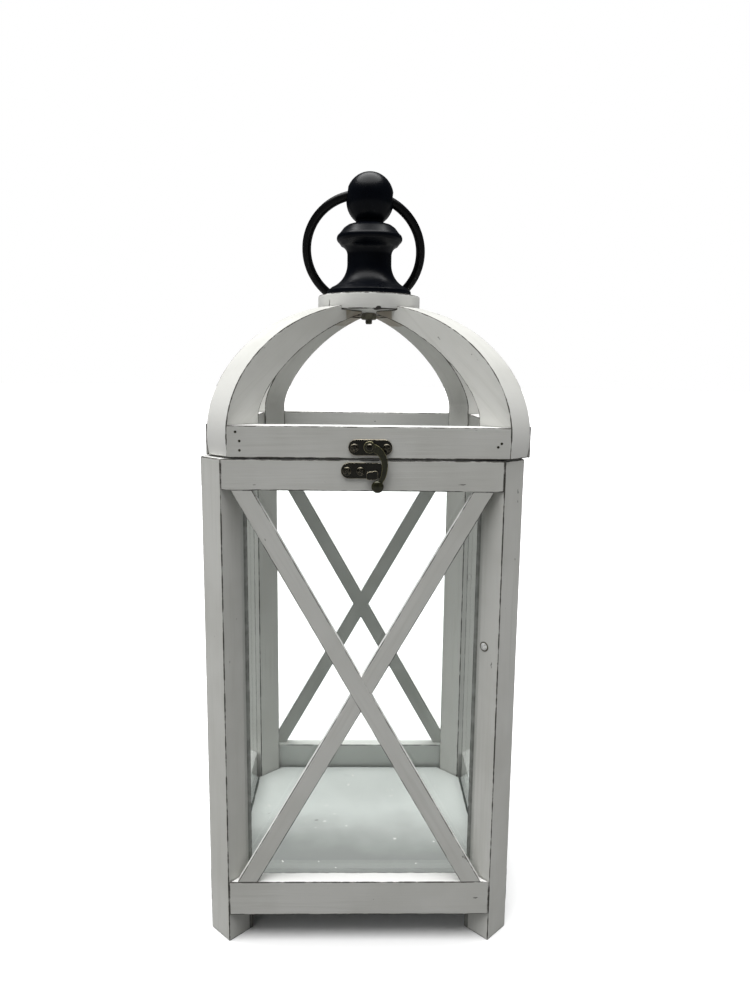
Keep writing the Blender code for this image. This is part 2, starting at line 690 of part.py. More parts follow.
def main():
    clear_scene()
    make_posts()
    make_rails("bottom_rail", RAIL_THICKNESS, BOTTOM_RAIL_BASE, BOTTOM_RAIL_TOP, about_z)
    top_rails = make_rails("top_rail", RAIL_THICKNESS, TOP_RAIL_BASE, BODY_HEIGHT, about_z)
    lid_rails = make_rails("lid_rail", LID_RAIL_THICKNESS, LID_BASE, LID_RAIL_TOP, lid_place)
    make_brace("front", 0)
    make_brace("back", 2)
    make_floor()
    make_glass()
    make_ribs()
    make_disc()
    make_finial()
    make_bolt()
    make_nut()
    make_keeper(top_rails["front"])
    latch = make_hook_plate(lid_rails["front"]) + [make_rivet(), make_hook()]
    hinged = make_hinges(top_rails["back"], lid_rails["back"])
    fixed = [obj for obj in bpy.data.objects if obj.name.startswith(("rib_", "top_disc", "finial"))]
    moving = list(lid_rails.values()) + fixed + latch + hinged + [make_ring()]
    hang_on("lid_hinge_axis", (0, BARREL_Y, PARTING), moving)


main()
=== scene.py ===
"""The looks of the candle lantern: worn white paint on wood, glass, black lacquer and dark bronze hardware.

Lengths are in metres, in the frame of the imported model: +Z is up and the latch side faces -Y.
"""

import json
import math
import random

import bmesh
import bpy
import numpy as np
from mathutils import Matrix, Vector, noise

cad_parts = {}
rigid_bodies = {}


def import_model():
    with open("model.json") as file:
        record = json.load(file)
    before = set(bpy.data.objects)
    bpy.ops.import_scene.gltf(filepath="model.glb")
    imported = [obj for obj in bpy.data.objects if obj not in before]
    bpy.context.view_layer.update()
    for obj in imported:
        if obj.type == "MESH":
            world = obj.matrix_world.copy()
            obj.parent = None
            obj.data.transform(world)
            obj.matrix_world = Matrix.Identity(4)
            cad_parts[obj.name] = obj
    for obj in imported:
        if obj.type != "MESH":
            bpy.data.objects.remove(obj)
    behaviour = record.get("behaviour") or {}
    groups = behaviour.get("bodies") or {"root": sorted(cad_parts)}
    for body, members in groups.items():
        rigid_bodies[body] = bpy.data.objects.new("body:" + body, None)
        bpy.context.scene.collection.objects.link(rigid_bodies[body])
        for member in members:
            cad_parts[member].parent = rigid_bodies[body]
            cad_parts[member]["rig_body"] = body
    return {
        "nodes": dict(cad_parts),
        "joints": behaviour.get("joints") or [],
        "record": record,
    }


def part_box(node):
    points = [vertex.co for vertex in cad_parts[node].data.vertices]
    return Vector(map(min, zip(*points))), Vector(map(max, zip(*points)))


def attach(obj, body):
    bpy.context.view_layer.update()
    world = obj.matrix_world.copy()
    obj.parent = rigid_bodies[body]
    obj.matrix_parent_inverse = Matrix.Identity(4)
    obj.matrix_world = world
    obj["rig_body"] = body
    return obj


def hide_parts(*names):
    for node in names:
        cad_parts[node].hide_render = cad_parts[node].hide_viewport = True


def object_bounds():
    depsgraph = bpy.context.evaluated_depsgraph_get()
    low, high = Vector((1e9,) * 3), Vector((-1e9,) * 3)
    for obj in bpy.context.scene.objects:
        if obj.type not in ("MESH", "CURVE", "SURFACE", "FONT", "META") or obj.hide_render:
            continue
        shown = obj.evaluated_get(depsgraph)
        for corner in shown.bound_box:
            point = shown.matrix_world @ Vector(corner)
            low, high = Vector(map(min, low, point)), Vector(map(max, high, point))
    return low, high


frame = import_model()
CAD_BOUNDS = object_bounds()
SLOTS = {part["node"]: part["material_slot"] for part in frame["record"]["subparts"]}

MM = 0.001
UP = Vector((0, 0, 1))
SHARP = math.radians(30)

# Camera
CAMERA_PLACE = (-2.5 * MM, -666.2 * MM, 444.2 * MM)
CAMERA_LENS_MM = 27.6
CAMERA_PITCH = 9.19
CAMERA_YAW = 1.18
CAMERA_ROLL = 0.66

# Light
OVERHEAD = {"strength": 5.3, "width": 72, "source": (-0.06, 0.02, 1.0)}
LEFT_SIDE = {"strength": 1.15, "width": 80, "source": (-0.80, -0.35, 0.70), "in_gloss": False}
RIGHT_SIDE = {"strength": 0.75, "width": 60, "source": (0.95, 0.10, 0.30), "in_gloss": False}
DIM_SURROUND = 0.05
SURROUND_TINT = (0.93, 0.97, 1.0, 1.0)
FLOOR_SEEN = ((0.84, 0.84, 0.84), (0.86, 0.86, 0.86))
FLOOR_SENT = ((0.17, 0.17, 0.17), (0.19, 0.19, 0.19))

# Wood
EASED_EDGE = 1.0 * MM
BRACE_EASED_EDGE = 0.75 * MM
RIB_EASED_EDGE = 0.9 * MM
BOARD_STEP = 8 * MM
BOARD_WAVE = 0.05 * MM
WAVES_TO_A_METRE = 38
BRACE_STEP_BACK = 0.06 * MM
# How wide the painted shade is on the front posts' sides, beside the glass
GAP_SHADE_WIDTH = 3.6 * MM
# The ribs' brown stain and painted shade under the disc stop this far inside its rim
RIB_STAIN_AND_SHADE_INSET = 3 * MM
# Painted shade at the front of the base board: full up to the first distance behind its front edge, gone by
# the second
FRONT_SHADE_NEAR = 55 * MM
FRONT_SHADE_FAR = 130 * MM

# How far from a joint the wear begins, and where all of it shows
RAIL_JOINT_UNWORN = (9 * MM, 12 * MM)
CROSSING_UNWORN = (5 * MM, 9 * MM)

# Damage to the top disc. A turn is in degrees from the front towards the right.
CRACK_SIZE = (0.75 * MM, 3.0 * MM, 8 * MM)
CRACK_HEIGHT = 4 * MM
CRACK_TURN = -49
CRACK_LEAN = 4
CHIP_TURNS_AND_SIZES = ((-46, 1.3 * MM), (10, 2.6 * MM))

# Turned pieces and screws
TURNED_SIDES = 96
BOLT_HOLE = 3.4 * MM
RING_HOLE = 6.2 * MM
THREAD_PITCH = 1.27 * MM
THREAD_DEPTH = 0.55 * MM
HEAD_HEIGHT = 0.40
NAIL_RADIUS = 1.1 * MM
NAIL_EASE = 0.3 * MM
NAIL_PROUD = 0.05 * MM
NAIL_DEPTH = 1.5 * MM

# Paint, dirt and painted light, as linear colours. The shade that goes with a paint is the darker tone in its
# streaks.
PAINT = (0.60, 0.60, 0.57)
PAINT_SHADE = (0.50, 0.50, 0.465)
# The disc's paler paint, which is also the painted highlight on the ribs' outward faces
PALE_PAINT = (0.72, 0.72, 0.69)
PALE_SHADE = (0.63, 0.63, 0.595)
# Painted light: a lighter copy of the paint for the back rails
BACK_RAIL_LIT_PAINT = (0.85, 0.85, 0.82)
BACK_RAIL_LIT_SHADE = (0.77, 0.77, 0.74)
BOARD_PAINT = (0.80, 0.83, 0.81)
BOARD_SHADE = (0.70, 0.73, 0.71)
# A painted highlight on faces that look up, and the colour of the board's white specks
TOP_HIGHLIGHT_AND_SPECKS = (0.90, 0.90, 0.88)
BARE_EDGE = (0.030, 0.026, 0.020)
# A brown stain on the ribs under the disc, darkened as painted shade there
STAIN_AND_SHADE = (0.30, 0.255, 0.19)
# Painted shade on the front posts, beside the glass
GAP_SHADE = (0.085, 0.085, 0.075)
# Painted shade at the front of the base board
BOARD_FRONT_SHADE = (0.36, 0.37, 0.36)

# Black finishes
LACQUER = (0.0010, 0.0016, 0.0032)
LACQUER_CLOUD = (0.0018, 0.0026, 0.0048)
LACQUER_DUST = (0.008, 0.009, 0.012)
ROD_BLACK = (0.0015, 0.0016, 0.0018)
ROD_CLOUD = (0.003, 0.003, 0.0034)
ROD_SCUFF = (0.016, 0.015, 0.014)

# Bare metals, each as its dark hollows and its bright ridges
BRONZE = {"dark": (0.012, 0.011, 0.007), "bright": (0.62, 0.55, 0.40)}
HOOK_BRASS = {"dark": (0.020, 0.020, 0.008), "bright": (0.36, 0.33, 0.18)}
# The glass screws' steel is near white with little metal in it: a painted glint
STEEL = {"dark": (0.45, 0.45, 0.44), "bright": (0.95, 0.95, 0.93)}
DARK_STEEL = {"dark": (0.035, 0.034, 0.024), "bright": (0.17, 0.16, 0.12)}

# Glass
GLASS_TINT = (0.984, 0.994, 0.988, 1.0)
GLASS_FILM = (0.62, 0.65, 0.62, 1.0)
GLASS_EDGE = (0.015, 0.045, 0.033)
GLASS_EDGE_PALE = (0.05, 0.11, 0.085)
MOST_MIRROR = 0.45

# Noise patterns: how many lumps there are to a metre, every way or along each axis, then detail and roughness
NOISE = {
    "streaks": ((9, 240, 240), 4, 0.6),
    "brush marks": ((26, 900, 900), 2, 0.5),
    "dents": ((60, 150, 150), 3, 0.6),
    "mottle": (14.0, 3, 0.55),
    "patches": (95.0, 4, 0.65),
    "specks": (110.0, 2, 0.6),
    "grit": (1500.0, 2, 0.6),
    "lathe rings": ((30, 30, 1400), 3, 0.55),
    "lacquer peel": (420.0, 2, 0.5),
    "lacquer clouds": (45.0, 3, 0.6),
    "lacquer dust": (1300.0, 3, 0.7),
    "rod clouds": (60.0, 3, 0.6),
    "rod peel": (700.0, 2, 0.5),
    "rod scratches": ((420, 420, 900), 3, 0.6),
    "metal clouds": (320.0, 4, 0.6),
    "metal pits": (1900.0, 3, 0.6),
    "glass smears": ((14, 14, 7), 4, 0.7),
    "glass dust": (900.0, 3, 0.7),
    "ground glass": (900.0, 3, 0.6),
    "floor": (1.5, 2, 0.5),
}

# Where a mark in the paint, or a painted highlight, begins, and where it is full
RUBBED_THROUGH = (0.24, 0.42)
DENTED = (0.725, 0.75)
SPECKLED = (0.695, 0.71)
TOP_HIGHLIGHT_FACING = (0.30, 0.45)
OUTWARD_HIGHLIGHT_FACING = (0.75, 1.0)

# How deep each material's relief is
PAINT_RELIEF = 0.32 * MM
LACQUER_RELIEF = 0.05 * MM
ROD_RELIEF = 0.04 * MM
METAL_RELIEF = 0.06 * MM


# Meshes


def points_of(node):
    return np.array([vertex.co for vertex in frame["nodes"][node].data.vertices])


def cad_shape(node):
    """A CAD node's shape with its flat faces whole."""
    shape = bmesh.new()
    shape.from_mesh(frame["nodes"][node].data)
    bmesh.ops.remove_doubles(shape, verts=shape.verts, dist=0.01 * MM)
    bmesh.ops.dissolve_limit(shape, angle_limit=math.radians(1), verts=shape.verts, edges=shape.edges)
    return shape


def hull_shape(node):
    """The convex shape around a CAD node, without the grooves and screw holes that its neighbours hide."""
    shape = bmesh.new()
    for place in points_of(node):
        shape.verts.new(place)
    bmesh.ops.remove_doubles(shape, verts=shape.verts, dist=0.01 * MM)
    bmesh.ops.convex_hull(shape, input=shape.verts)
    loose = [vertex for vertex in shape.verts if not vertex.link_faces]
    bmesh.ops.delete(shape, geom=loose, context="VERTS")
    bmesh.ops.dissolve_limit(shape, angle_limit=math.radians(1), verts=shape.verts, edges=shape.edges)
    return shape


def turned_shape(profile, sides=TURNED_SIDES, matrix=None, loop=False):
    """A profile of (radius, z) points turned about Z. A loop's profile is closed and clear of the axis."""
    shape = bmesh.new()
    turns = [2 * math.pi * i / sides for i in range(sides)]
    rows = []
    for radius, z in profile:
        around = turns if radius > 0 else [0]
        rows.append([shape.verts.new((radius * math.cos(t), radius * math.sin(t), z)) for t in around])
    pairs = list(zip(rows, rows[1:]))
    if loop:
        pairs.append((rows[-1], rows[0]))
    for first, second in pairs:
        for i in range(sides):
            j = (i + 1) % sides
            corners = [first[i % len(first)], first[j % len(first)]]
            corners += [second[j % len(second)], second[i % len(second)]]
            shape.faces.new(list(dict.fromkeys(corners)))
    bmesh.ops.recalc_face_normals(shape, faces=shape.faces)
    if matrix:
        shape.transform(matrix)
    return shape


def arc(centre, radius, start, end, steps):
    """Points on an arc, from the start angle to the end angle in degrees."""
    turns = [math.radians(start + (end - start) * i / steps) for i in range(steps + 1)]
    return [(centre[0] + radius * math.cos(t), centre[1] + radius * math.sin(t)) for t in turns]


def box_shape(size, matrix):
    shape = bmesh.new()
    bmesh.ops.create_cube(shape, size=1, matrix=matrix @ Matrix.Diagonal((*size, 1)))
    return shape


def mesh_of(name, shape):
    mesh = bpy.data.meshes.new(name)
    shape.to_mesh(mesh)
    shape.free()
    return mesh


def joined(shapes):
    whole = bmesh.new()
    for shape in shapes:
        mesh = mesh_of("joined", shape)
        whole.from_mesh(mesh)
        bpy.data.meshes.remove(mesh)
    return whole


def store(mesh, name, values, kind="FLOAT"):
    """Keeps a value for each vertex, which a material reads by name."""
    attribute = mesh.attributes.new(name, kind, "POINT")
    field = "vector" if kind == "FLOAT_VECTOR" else "value"
    attribute.data.foreach_set(field, np.ravel(values).astype(np.float32))


def store_proud(mesh):
    """Keeps how far each vertex stands proud of its neighbours, as a slope: above 0 on a ridge."""
    places = coordinates(mesh)
    ends = np.empty(len(mesh.edges) * 2, np.int32)
    mesh.edges.foreach_get("vertices", ends)
    ends = ends.reshape(-1, 2)
    normals = np.empty(len(mesh.vertices) * 3, np.float32)
    mesh.vertex_normals.foreach_get("vector", normals)
    normals = normals.reshape(-1, 3)
    total = np.zeros(len(places))
    count = np.zeros(len(places))
    for here, there in (ends.T, ends.T[::-1]):
        away = places[here] - places[there]
        slope = (away * normals[here]).sum(1) / np.maximum(np.linalg.norm(away, axis=1), 1e-9)
        np.add.at(total, here, slope)
        np.add.at(count, here, 1)
    store(mesh, "proud", total / np.maximum(count, 1))


def coordinates(mesh):
    places = np.empty(len(mesh.vertices) * 3, np.float32)
    mesh.vertices.foreach_get("co", places)
    return places.reshape(-1, 3)


def add_object(name, mesh, material):
    obj = bpy.data.objects.new(name, mesh)
    bpy.context.scene.collection.objects.link(obj)
    mesh.materials.append(material)
    mesh.shade_smooth()
    return obj


def stand_for(obj, *nodes):
    """Takes these CAD nodes' place and body; on bronze or steel it keeps how proud each vertex stands."""
    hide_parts(*nodes)
    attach(obj, frame["nodes"][nodes[0]]["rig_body"])
    if SLOTS[nodes[0]] in ("bronze", "steel"):
        store_proud(obj.data)
    return obj


def with_modifier(obj, kind, **settings):
    modifier = obj.modifiers.new(kind.lower(), kind)
    for key, value in settings.items():
        setattr(modifier, key, value)
    return modifier


def settle(obj):
    """Makes an object's modifiers part of its mesh."""
    graph = bpy.context.evaluated_depsgraph_get()
    mesh = bpy.data.meshes.new_from_object(obj.evaluated_get(graph))
    obj.modifiers.clear()
    old = obj.data
    obj.data = mesh
    bpy.data.meshes.remove(old)
    return obj


def cut(obj, shape):
    """Cuts a shape out of an object's mesh."""
    cutter = bpy.data.objects.new("cutter", mesh_of("cutter", shape))
    bpy.context.scene.collection.objects.link(cutter)
    with_modifier(obj, "BOOLEAN", operation="DIFFERENCE", object=cutter)
    settle(obj)
    bpy.data.objects.remove(cutter)
    return obj


# Node trees


def add(tree, kind, inputs=(), **settings):
    """Adds a shader node. An input's value is a number, a colour or another node's output."""
    node = tree.nodes.new("ShaderNode" + kind)
    for key, value in settings.items():
        setattr(node, key, value)
    for key, value in dict(inputs).items():
        if isinstance(value, bpy.types.NodeSocket):
            tree.links.new(value, node.inputs[key])
        else:
            node.inputs[key].default_value = value
    return node


def maths(tree, operation, a, b=0.0):
    return add(tree, "Math", {0: a, 1: b}, operation=operation).outputs[0]


def scaled(tree, vector, scale):
    return add(tree, "VectorMath", {0: vector, 1: scale}, operation="MULTIPLY").outputs[0]


def cloud(tree, vector, pattern):
    """One of the NOISE patterns, between 0 and 1 and mostly near 0.5."""
    lumps, detail, roughness = NOISE[pattern]
    if isinstance(lumps, tuple):
        vector = scaled(tree, vector, lumps)
        lumps = 1.0
    inputs = {"Vector": vector, "Scale": lumps, "Detail": detail, "Roughness": roughness}
    return add(tree, "TexNoise", inputs).outputs[0]


def stretch(tree, value, low, high, to_low=0.0, to_high=1.0):
    """Carries low..high to the range given, smoothly and no further."""
    inputs = {"Value": value, "From Min": low, "From Max": high, "To Min": to_low, "To Max": to_high}
    return add(tree, "MapRange", inputs, interpolation_type="SMOOTHSTEP").outputs[0]


def blend(tree, share, a, b):
    """A colour between a, at 0, and b, at 1."""
    colours = {0: share, 6: a, 7: b}
    for key in (6, 7):
        if not isinstance(colours[key], bpy.types.NodeSocket):
            colours[key] = (*colours[key], 1.0)
    return add(tree, "Mix", colours, data_type="RGBA").outputs[2]


def bump(tree, height, distance, strength=1.0, normal=None):
    inputs = {"Height": height, "Distance": distance, "Strength": strength}
    if normal:
        inputs["Normal"] = normal
    return add(tree, "Bump", inputs).outputs[0]


def new_material(name):
    material = bpy.data.materials.new(name)
    material.use_nodes = True
    tree = material.node_tree
    shader = tree.nodes["Principled BSDF"]
    place = add(tree, "TexCoord").outputs["Object"]
    return material, tree, shader, place


def dress(tree, shader, **inputs):
    """Sets the shader's inputs, whose names are given with _ for a space."""
    for key, value in inputs.items():
        socket = shader.inputs[key.replace("_", " ")]
        if isinstance(value, bpy.types.NodeSocket):
            tree.links.new(value, socket)
        else:
            socket.default_value = value


# Materials


def painted_wood(
    name,
    tone=PAINT,
    shade=PAINT_SHADE,
    sheen=0.0,
    streaky=1.0,
    top_highlight=0.0,
    stain_and_shade_within=None,
    specks=None,
    front_shade=None,
):
    """Thin white paint on wood: streaks along the grain, dents, and edges rubbed through to dark wood.

    It reads values of each vertex: grain, its place along and across the wood, wear, which is 1 on an edge,
    and gap_shade, painted shade that only the front posts have, where the glass meets them. Sheen makes the
    paint smoother, streaky is how much the streaks show, and top_highlight is how white a painted highlight
    makes the faces that look up. With stain_and_shade_within, the paint that near to the lid's axis is thin
    and brown, with painted shade under the disc, and the faces that look out from it get a painted highlight.
    Specks is the colour of the spots that lie on the paint. Front_shade is a pair of places along Y: painted
    shade darkens the paint at the first, and is gone at the second.
    """
    material, tree, shader, place = new_material(name)
    grain = add(tree, "Attribute", attribute_name="grain").outputs["Vector"]
    wear = add(tree, "Attribute", attribute_name="wear").outputs["Fac"]
    streaks = maths(tree, "MULTIPLY", cloud(tree, grain, "streaks"), streaky)
    brush = maths(tree, "MULTIPLY", cloud(tree, grain, "brush marks"), streaky)
    mottle = cloud(tree, place, "mottle")
    grit = cloud(tree, place, "grit")
    patches = cloud(tree, place, "patches")

    colour = blend(tree, stretch(tree, mottle, 0.35, 0.75, 0.0, 0.8), tone, shade)
    colour = blend(tree, stretch(tree, streaks, 0.50, 0.75, 0.0, 0.55), colour, shade)
    colour = blend(tree, stretch(tree, brush, 0.55, 0.80, 0.0, 0.35), colour, shade)
    normal = add(tree, "NewGeometry").outputs["Normal"]
    # Painted highlight: faces that look up are whitened
    if top_highlight:
        upward = add(tree, "SeparateXYZ", {0: normal}).outputs["Z"]
        colour = blend(tree, stretch(tree, upward, *TOP_HIGHLIGHT_FACING, 0.0, top_highlight), colour, TOP_HIGHLIGHT_AND_SPECKS)
    if stain_and_shade_within:
        # Near the lid's axis: a brown stain where the paint is thin, with painted shade under the disc
        from_axis = add(tree, "VectorMath", {0: place, 1: LID_AXIS}, operation="SUBTRACT").outputs[0]
        flat = scaled(tree, from_axis, (1, 1, 0))
        distance = add(tree, "VectorMath", {0: flat}, operation="LENGTH").outputs["Value"]
        ragged = maths(tree, "ADD", distance, maths(tree, "MULTIPLY", patches, 2 * MM))
        inside = stretch(tree, ragged, stain_and_shade_within, stain_and_shade_within + 2 * MM, 0.8, 0.0)
        # Painted highlight: faces that look out from the lid's axis take the paler paint
        radial = add(tree, "VectorMath", {0: flat}, operation="NORMALIZE").outputs[0]
        outward = add(tree, "VectorMath", {0: normal, 1: radial}, operation="DOT_PRODUCT").outputs["Value"]
        colour = blend(tree, stretch(tree, outward, *OUTWARD_HIGHLIGHT_FACING), colour, PALE_PAINT)
        stain_and_shade = maths(tree, "MULTIPLY", inside, stretch(tree, streaks, 0.2, 0.6, 0.4, 1.0))
        colour = blend(tree, stain_and_shade, colour, STAIN_AND_SHADE)
    if front_shade:
        # Painted shade, darker towards the board's front
        ragged = stretch(tree, mottle, 0.0, 1.0, -30 * MM, 30 * MM)
        along = maths(tree, "ADD", add(tree, "SeparateXYZ", {0: place}).outputs["Y"], ragged)
        colour = blend(tree, stretch(tree, along, front_shade[0], front_shade[1], 0.95, 0.0), colour, BOARD_FRONT_SHADE)

    # Painted shade on the front posts' sides, where the glass meets them
    gap_shade = add(tree, "Attribute", attribute_name="gap_shade").outputs["Fac"]
    gap_shade = maths(tree, "MULTIPLY", gap_shade, stretch(tree, patches, 0.3, 0.7, 0.65, 0.95))
    colour = blend(tree, gap_shade, colour, GAP_SHADE)
    rubbed = maths(tree, "ADD", wear, stretch(tree, patches, 0.32, 0.68, -0.32, 0.27))
    bare = maths(tree, "MULTIPLY", stretch(tree, rubbed, *RUBBED_THROUGH), stretch(tree, wear, 0.05, 0.30))
    dent = stretch(tree, cloud(tree, grain, "dents"), *DENTED)
    bare = maths(tree, "MAXIMUM", bare, maths(tree, "MULTIPLY", dent, 0.75))
    colour = blend(tree, maths(tree, "MULTIPLY", bare, 0.93), colour, BARE_EDGE)

    if specks:
        spots = stretch(tree, cloud(tree, place, "specks"), *SPECKLED)
        colour = blend(tree, spots, colour, specks)

    rough = stretch(tree, maths(tree, "ADD", streaks, bare), 0.3, 1.4, 0.46 - sheen, 0.80 - sheen)
    height = maths(tree, "MULTIPLY", streaks, 0.7)
    for layer, share in ((brush, 0.35), (grit, 0.12), (bare, -0.6)):
        height = maths(tree, "ADD", height, maths(tree, "MULTIPLY", layer, share))
    dress(tree, shader, Base_Color=colour, Roughness=rough, Normal=bump(tree, height, PAINT_RELIEF, 0.7))
    return material


def black_lacquer():
    """Satin black on turned wood, with fine rings from the lathe and a little dust."""
    material, tree, shader, place = new_material("black_lacquer")
    rings = cloud(tree, place, "lathe rings")
    peel = cloud(tree, place, "lacquer peel")
    cloudy = cloud(tree, place, "lacquer clouds")
    dust = stretch(tree, cloud(tree, place, "lacquer dust"), 0.66, 0.78, 0.0, 0.35)
    colour = blend(tree, stretch(tree, cloudy, 0.3, 0.7), LACQUER, LACQUER_CLOUD)
    colour = blend(tree, dust, colour, LACQUER_DUST)
    rough = stretch(tree, maths(tree, "ADD", cloudy, dust), 0.25, 1.0, 0.27, 0.42)
    height = maths(tree, "ADD", maths(tree, "MULTIPLY", rings, 0.5), peel)
    dress(tree, shader, Base_Color=colour, Roughness=rough, Normal=bump(tree, height, LACQUER_RELIEF, 0.5))
    dress(tree, shader, Specular_IOR_Level=0.14)
    return material


def black_metal():
    """Black paint on a steel rod, a little uneven, with small scuffs."""
    material, tree, shader, place = new_material("black_metal")
    cloudy = cloud(tree, place, "rod clouds")
    peel = cloud(tree, place, "rod peel")
    scuff = stretch(tree, cloud(tree, place, "rod scratches"), 0.70, 0.76, 0.0, 0.5)
    colour = blend(tree, cloudy, ROD_BLACK, ROD_CLOUD)
    colour = blend(tree, scuff, colour, ROD_SCUFF)
    rough = stretch(tree, maths(tree, "ADD", cloudy, scuff), 0.25, 1.1, 0.30, 0.55)
    dress(tree, shader, Base_Color=colour, Roughness=rough, Normal=bump(tree, peel, ROD_RELIEF, 0.5))
    dress(tree, shader, Specular_IOR_Level=0.16)
    return material


def aged_metal(name, dark, bright, rough, metallic=1.0):
    """Metal that is dark in its hollows and rubbed bright where it stands proud.

    Rough is the range of its roughness.
    """
    material, tree, shader, place = new_material(name)
    proud = add(tree, "Attribute", attribute_name="proud").outputs["Fac"]
    cloudy = cloud(tree, place, "metal clouds")
    pits = cloud(tree, place, "metal pits")
    rubbed = stretch(tree, maths(tree, "ADD", proud, maths(tree, "MULTIPLY", cloudy, 0.12)), 0.09, 0.22)
    colour = blend(tree, stretch(tree, cloudy, 0.35, 0.70), dark, [c * 2.2 for c in dark])
    colour = blend(tree, rubbed, colour, bright)
    roughness = stretch(tree, maths(tree, "ADD", cloudy, pits), 0.7, 1.3, *rough)
    height = maths(tree, "ADD", cloudy, maths(tree, "MULTIPLY", pits, 0.6))
    dress(tree, shader, Base_Color=colour, Metallic=metallic, Roughness=roughness)
    normal = bump(tree, height, METAL_RELIEF, 0.5)
    dress(tree, shader, Normal=normal, Coat_Weight=0.6, Coat_Roughness=0.18)
    return material


def pane_glass(name, outward):
    """Clear glass with a light film of dust, a few smears and dark green edges. Its panes face outward."""
    material, tree, shader, place = new_material(name)
    smear = stretch(tree, cloud(tree, place, "glass smears"), 0.50, 0.85, 0.0, 0.05)
    dust = stretch(tree, cloud(tree, place, "glass dust"), 0.66, 0.76, 0.0, 0.10)
    clear = add(tree, "BsdfTransparent", {"Color": GLASS_TINT}).outputs[0]
    glossy = add(tree, "BsdfAnisotropic", {"Color": (1.0, 1.0, 1.0, 1.0), "Roughness": 0.03}).outputs[0]
    film = add(tree, "BsdfDiffuse", {"Color": GLASS_FILM}).outputs[0]
    mirror = maths(tree, "MINIMUM", add(tree, "Fresnel", {"IOR": 1.45}).outputs[0], MOST_MIRROR)
    seen = add(tree, "MixShader", {0: mirror, 1: clear, 2: glossy}).outputs[0]
    dusty = add(tree, "MixShader", {0: maths(tree, "MAXIMUM", smear, dust), 1: seen, 2: film}).outputs[0]
    normal = add(tree, "NewGeometry").outputs["Normal"]
    facing = add(tree, "VectorMath", {0: normal, 1: outward}, operation="DOT_PRODUCT").outputs["Value"]
    edge = stretch(tree, maths(tree, "ABSOLUTE", facing), 0.4, 0.6, 1.0, 0.0)
    ground = blend(tree, cloud(tree, place, "ground glass"), GLASS_EDGE, GLASS_EDGE_PALE)
    dress(tree, shader, Base_Color=ground, Roughness=0.35)
    whole = add(tree, "MixShader", {0: edge, 1: dusty, 2: shader.outputs[0]}).outputs[0]
    tree.links.new(whole, tree.nodes["Material Output"].inputs["Surface"])
    return material


# Wooden pieces


def main_axis(points):
    """The direction in which a set of points reaches furthest."""
    _, _, axes = np.linalg.svd(points - points.mean(0), full_matrices=False)
    axis = axes[0]
    return Vector(axis if axis[np.argmax(np.abs(axis))] > 0 else -axis).normalized()


def sharp_edges(shape):
    return [edge for edge in shape.edges if edge.is_manifold and edge.calc_face_angle() > SHARP]


def edge_direction(edge):
    return (edge.verts[1].co - edge.verts[0].co).normalized()


def distance_to(points, edges):
    """How far each point is from the nearest edge. An edge is a pair of ends."""
    start = edges[:, 0]
    along = edges[:, 1] - start
    share = ((points[:, None] - start) * along).sum(2) / (along**2).sum(1)
    nearest = start + np.clip(share, 0, 1)[..., None] * along
    return np.linalg.norm(points[:, None] - nearest, axis=2).min(1)


def slice_along(shape, axis, step):
    """Cuts a shape's faces across at even steps along the axis, so that its sides can wave a little."""
    reach = [vertex.co.dot(axis) for vertex in shape.verts]
    count = max(1, round((max(reach) - min(reach)) / step))
    for i in range(1, count):
        place = axis * (min(reach) + (max(reach) - min(reach)) * i / count)
        geom = [*shape.verts, *shape.edges, *shape.faces]
        bmesh.ops.bisect_plane(shape, geom=geom, plane_co=place, plane_no=axis)


def wave(shape, depth):
    """Lets the surface dip a little here and there, as hand-sanded wood does. It never rises."""
    shape.normal_update()
    for vertex in shape.verts:
        dip = 0.5 + 0.5 * noise.noise(vertex.co * WAVES_TO_A_METRE)
        vertex.co -= vertex.normal * depth * dip


def wooden(
    node,
    shape,
    material,
    axis=None,
    ease=EASED_EDGE,
    waves=BOARD_WAVE,
    square_ends=False,
    unworn=(),
):
    """A wooden piece from a plain shape: eased and worn edges, and the grain along its length.

    Square ends keep their edges sharp, where they meet other wood. Each unworn place is (centre, near, far):
    no wear within near of the centre, and all of it from far on.
    """
    axis = axis or main_axis(points_of(node))
    edges = sharp_edges(shape)
    if square_ends:
        edges = [edge for edge in edges if abs(edge_direction(edge).dot(axis)) > 0.95]
    ends = np.array([[edge.verts[0].co, edge.verts[1].co] for edge in edges])
    rounding = {"offset": ease, "segments": 4, "profile": 0.72, "affect": "EDGES", "clamp_overlap": True}
    bmesh.ops.bevel(shape, geom=edges, **rounding)
    if waves:
        slice_along(shape, axis, BOARD_STEP)
        wave(shape, waves)
    mesh = mesh_of(node + "_wood", shape)
    places = np.clip(coordinates(mesh), *np.array(CAD_BOUNDS))
    mesh.vertices.foreach_set("co", places.ravel())
    wear = np.clip(1 - distance_to(places, ends) / ease, 0, 1)
    for centre, near, far in unworn:
        wear *= np.clip((np.linalg.norm(places - np.array(centre), axis=1) - near) / (far - near), 0, 1)
    store(mesh, "wear", wear)
    store(mesh, "grain", grain_places(node, places, axis), "FLOAT_VECTOR")
    obj = stand_for(add_object(node + "_wood", mesh, material), node)
    mesh.set_sharp_from_angle(angle=SHARP)
    with_modifier(obj, "WEIGHTED_NORMAL", weight=90, keep_sharp=True)
    return obj


def grain_places(node, places, axis):
    """Each point's place along the grain, across it and through it, from a corner of the plank of its own."""
    across = axis.cross(UP if abs(axis.z) < 0.7 else Vector((1, 0, 0))).normalized()
    through = axis.cross(across)
    plank = random.Random(node)
    corner = [plank.uniform(0, 5) for _ in range(3)]
    return places @ np.array([axis, across, through]).T + np.array(corner)


